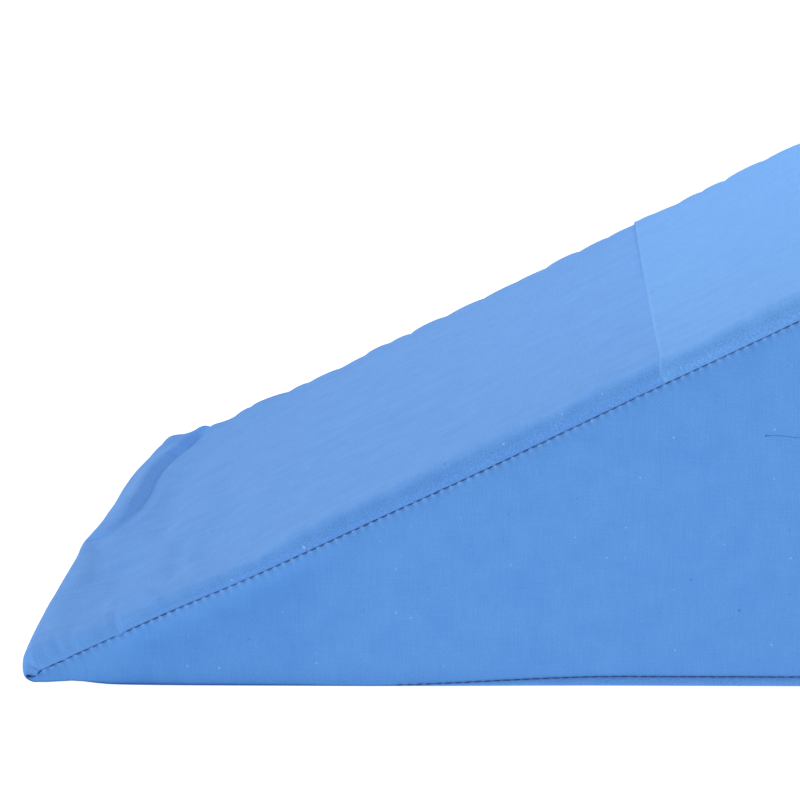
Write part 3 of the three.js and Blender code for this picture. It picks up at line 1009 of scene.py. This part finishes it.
def stitchRow(name, side):
    rng = np.random.default_rng(stitch["seed"] + side)
    walk = seamWalk(side)
    length = walkLength(walk)
    bm = bmesh.new()
    for k in range(int(length[-1] // stitch["pitch"])):
        at = (k + 0.5) * stitch["pitch"]
        spot = spread(walk, at, length)
        onBase = spot[2] < stitch["baseZ"]
        if onBase and stitch["hidden"][0] < spot[0] < stitch["hidden"][1]:
            continue
        way = float(smooth(spot[0], *stitch["change"]))
        half = lerp(*stitch["length"], way) / 2 * float(rng.uniform(*stitch["lengthVary"]))
        radius = lerp(*stitch["radius"], way) * float(rng.uniform(*stitch["radiusVary"]))
        radius *= stitch["baseThin"] if onBase else 1
        out = np.array([0, side * stitch["proud"], 0])
        start, end = (spread(walk, place, length) + out for place in (at - half, at + half))
        capsule(bm, start, end, radius, float(rng.normal(0, stitch["tilt"])))
    obj = toObject(name, bm, stitchThread)
    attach(obj, "root")


stitchRow("stitchesNear", -1)
stitchRow("stitchesFar", 1)
print("stitches made")

# one dark slub caught in the near side's cloth, with its knot
lintThread = threadMaterial("slub thread", (0.05, 0.15, 0.42))
slub = {
    "from": (54.5, 102.6),  # x and z
    "to": (69.0, 102.0),
    "radius": 0.13,
    "steps": 6,
    "overlap": 0.2,
    "curl": (0.3, 5),
    "knot": (0.2, 0.42, 0.32),  # half its width, half its height, radius
}


def slubPlace(t):
    x, z = (np.array([lerp(a, b, t)]) for a, b in zip(slub["from"], slub["to"]))
    curl = slub["curl"][0] * math.sin(slub["curl"][1] * t)
    return np.concatenate(settle(x, -sideDepth(x, z, -1), z + curl))


bm = bmesh.new()
for k in range(slub["steps"]):
    start, end = (slubPlace(place / slub["steps"]) for place in (k, k + 1 + slub["overlap"]))
    capsule(bm, start, end, slub["radius"])
knotWide, knotHigh, knotRadius = slub["knot"]
knotHalf = np.array([knotWide, 0, knotHigh])
capsule(bm, slubPlace(0) - knotHalf, slubPlace(0) + knotHalf, knotRadius)
slubPiece = toObject("slubNear", bm, lintThread)
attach(slubPiece, "root")
print("slub made")

# camera: the photograph's place, height and angle
view = {
    "place": (-28.0, -1395.0, 351.1),
    "turn": (78.938, 0.615, 2.801),
    "lens": 139.5,
    "sensor": 36,
    "clip": (0.05, 60),
}
camera = bpy.data.objects.new("camera", bpy.data.cameras.new("camera"))
scene.collection.objects.link(camera)
camera.location = Vector(view["place"]) * mm
camera.rotation_euler = [math.radians(a) for a in view["turn"]]
camera.data.lens = view["lens"]
camera.data.sensor_width = view["sensor"]
camera.data.clip_start, camera.data.clip_end = view["clip"]
scene.camera = camera

# white sweep and soft studio light
studio = {"floor": 0.30, "rough": 0.9, "glow": 0.92, "floorSize": 24.0, "world": 0.37}
lamps = {  # place, aim, size, watts
    "key": ((0.32, 0.22, 0.85), (0.08, 0.0, 0.15), 0.6, 5.4),
    "left": ((-2.20, 0.0, 0.68), (-0.15, 0.0, 0.05), 0.4, 26.0),
    "front": ((0.1, -2.3, 1.0), (0.0, 0.0, 0.1), 1.2, 21.5),
}
bm = bmesh.new()
bmesh.ops.create_grid(bm, x_segments=1, y_segments=1, size=studio["floorSize"])
floorMat = bpy.data.materials.new("floor")
floorMat.use_nodes = True
floorShader = floorMat.node_tree.nodes["Principled BSDF"]
floorShader.inputs["Base Color"].default_value = (*[studio["floor"]] * 3, 1)
floorShader.inputs["Roughness"].default_value = studio["rough"]
floorShader.inputs["Emission Color"].default_value = (1, 1, 1, 1)
floorShader.inputs["Emission Strength"].default_value = studio["glow"]
floor = toObject("floor", bm, floorMat, False)

world = bpy.data.worlds.new("studio")
world.use_nodes = True
background = world.node_tree.nodes["Background"]
background.inputs["Color"].default_value = (1, 1, 1, 1)
background.inputs["Strength"].default_value = studio["world"]
scene.world = world


def areaLight(name, place, aim, size, power):
    lamp = bpy.data.lights.new(name, "AREA")
    lamp.size, lamp.energy = size, power
    obj = bpy.data.objects.new(name, lamp)
    scene.collection.objects.link(obj)
    obj.location = place
    obj.rotation_euler = (Vector(aim) - Vector(place)).to_track_quat("-Z", "Y").to_euler()


for name, lamp in lamps.items():
    areaLight(name, *lamp)
scene.view_settings.view_transform = "Standard"
print("camera and light set")
